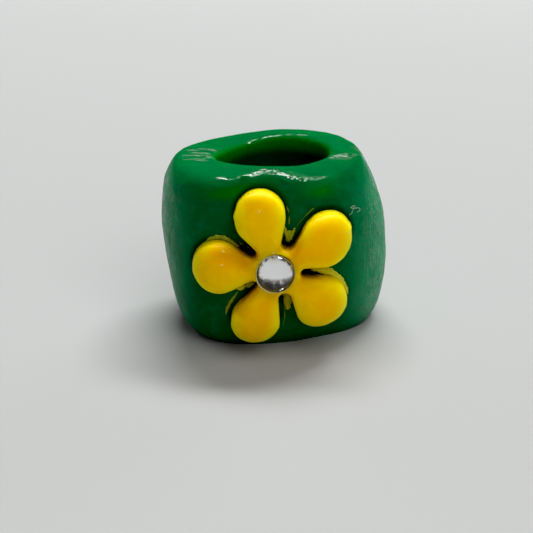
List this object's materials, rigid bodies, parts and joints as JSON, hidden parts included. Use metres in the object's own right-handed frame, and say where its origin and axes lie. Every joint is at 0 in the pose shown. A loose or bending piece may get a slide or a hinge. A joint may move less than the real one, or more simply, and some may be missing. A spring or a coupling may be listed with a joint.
{
  "type": "dreadlock bead",
  "caption": "Hand-shaped clay dreadlock bead with a straight round hole, a clay flower pressed on its front and a foil-backed half-round gem at the flower's middle.",
  "frame": {"origin": "on the axis of the straight hole, at half the bead's height", "axes": "+Z along the hole, up as the bead stands; the flower faces -Y and +X is to the right of someone who looks at the flower"},
  "size_m": [0.0192, 0.0214, 0.0149],
  "materials": {
    "green_clay": "hand-shaped polymer clay, satin gloss with fingerprints and streaks",
    "yellow_clay": "smooth polymer clay, soft satin",
    "clear_gem": "clear, polished",
    "gem_foil": "thin bright foil"
  },
  "bodies": {
    "root": {"bead": "green_clay", "flower": "yellow_clay", "gem": "clear_gem", "foil": "gem_foil"}
  },
  "joints": []
}
